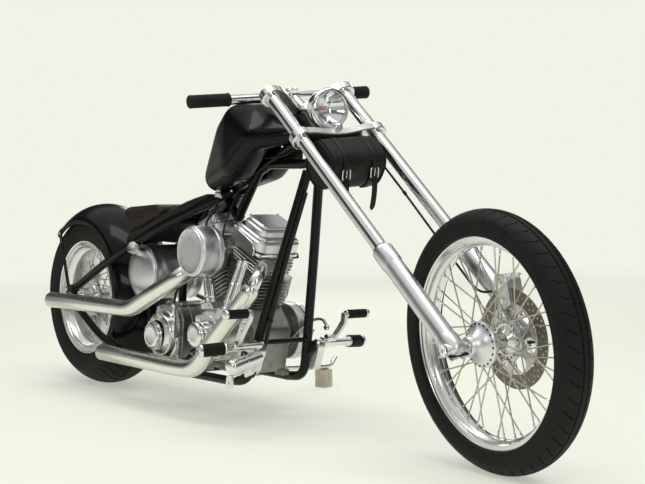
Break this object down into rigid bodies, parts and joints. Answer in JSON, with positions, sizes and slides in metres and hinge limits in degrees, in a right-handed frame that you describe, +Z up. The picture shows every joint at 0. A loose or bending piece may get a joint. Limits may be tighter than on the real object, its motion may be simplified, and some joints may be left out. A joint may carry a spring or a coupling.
{
  "type": "long-fork chopper motorcycle",
  "caption": "Rigid-frame chopper motorcycle with a raked long fork, V-twin engine, tall tank, fat rear tyre and slim front wheel, leaning on its side stand.",
  "frame": {"origin": "on the floor, below the centre of the whole parked motorcycle's length and width", "axes": "+X forward, +Y to the motorcycle's left, +Z up; the motorcycle leans 2 degrees to its left and its fork is turned 6.5 degrees to its right"},
  "size_m": [2.7731, 0.9209, 1.0639],
  "materials": {
    "gloss_black_paint": "gloss",
    "frame_black_paint": "gloss",
    "polished_aluminium": "polished",
    "satin_aluminium": "satin",
    "cast_aluminium": "cast and polished",
    "chrome": "mirror",
    "brushed_pipe": "satin polish",
    "lamp_glass": "clear",
    "carburettor_metal": "cast",
    "spoke_steel": "satin",
    "disc_steel": "ground",
    "chain_steel": "oiled",
    "caliper_black": "satin",
    "tyre_rubber": "matt",
    "grip_rubber": "matt",
    "cable_black": "satin",
    "seat_leather": "satin",
    "brown_leather": "satin",
    "bag_leather": "worn satin",
    "timber": "rough sawn"
  },
  "bodies": {
    "chassis": {"frame_backbone": "frame_black_paint", "frame_downtubes": "frame_black_paint", "frame_right_rail": "frame_black_paint", "frame_left_rail": "frame_black_paint", "frame_cross_tubes": "frame_black_paint", "frame_seat_rails": "frame_black_paint", "rear_axle": "chrome", "fuel_tank": "gloss_black_paint", "seat_pad": "seat_leather", "rear_pad": "brown_leather", "rear_fender": "gloss_black_paint", "fender_strut": "frame_black_paint", "oil_tank": "polished_aluminium", "crankcase": "cast_aluminium", "front_cylinder": "cast_aluminium", "rear_cylinder": "cast_aluminium", "front_head": "cast_aluminium", "rear_head": "cast_aluminium", "cam_cover": "polished_aluminium", "pushrod_tubes": "chrome", "carburettor": "carburettor_metal", "air_cleaner": "polished_aluminium", "transmission": "cast_aluminium", "primary_cover": "polished_aluminium", "front_exhaust": "brushed_pipe", "rear_exhaust": "brushed_pipe", "drive_chain": "chain_steel", "rear_caliper": "caliper_black", "right_foot_control": "polished_aluminium", "left_foot_control": "polished_aluminium", "brake_pedal": "polished_aluminium", "shift_lever": "polished_aluminium", "wiring_loom": "cable_black", "stand_block": "timber"},
    "steering": {"upper_clamp": "polished_aluminium", "lower_clamp": "polished_aluminium", "fork_tubes": "chrome", "fork_sliders": "satin_aluminium", "handlebar": "chrome", "grips": "grip_rubber", "headlight": "chrome", "headlight_lens": "lamp_glass", "tool_bag": "bag_leather", "front_axle": "chrome", "front_caliper": "satin_aluminium", "brake_hose": "cable_black"},
    "front_wheel": {"front_tyre": "tyre_rubber", "front_rim": "polished_aluminium", "front_spokes": "spoke_steel", "front_hub": "polished_aluminium", "front_disc": "disc_steel"},
    "rear_wheel": {"rear_tyre": "tyre_rubber", "rear_rim": "polished_aluminium", "rear_spokes": "spoke_steel", "rear_hub": "polished_aluminium", "rear_sprocket": "disc_steel"},
    "side_stand": {"side_stand": "spoke_steel"}
  },
  "joints": [
    {"name": "steering", "type": "hinge", "parent": "chassis", "child": "steering", "pos_m": [0.23784, -0.11993, 0.89846], "axis": [-0.776, 0.022, 0.6303], "range_deg": [-17.5, 30.5]},
    {"name": "front_wheel_spin", "type": "hinge", "parent": "steering", "child": "front_wheel", "pos_m": [1.03937, -0.148, 0.34758], "axis": [0.0714, 0.996, 0.0531], "continuous": true},
    {"name": "rear_wheel_spin", "type": "hinge", "parent": "chassis", "child": "rear_wheel", "pos_m": [-1.06261, -0.13999, 0.32388], "axis": [0, 0.9994, -0.0349], "continuous": true},
    {"name": "side_stand_fold", "type": "hinge", "parent": "chassis", "child": "side_stand", "pos_m": [-0.30261, 0.02079, 0.11406], "axis": [0, 0.165, 0.9863], "range_deg": [0, 72]}
  ]
}
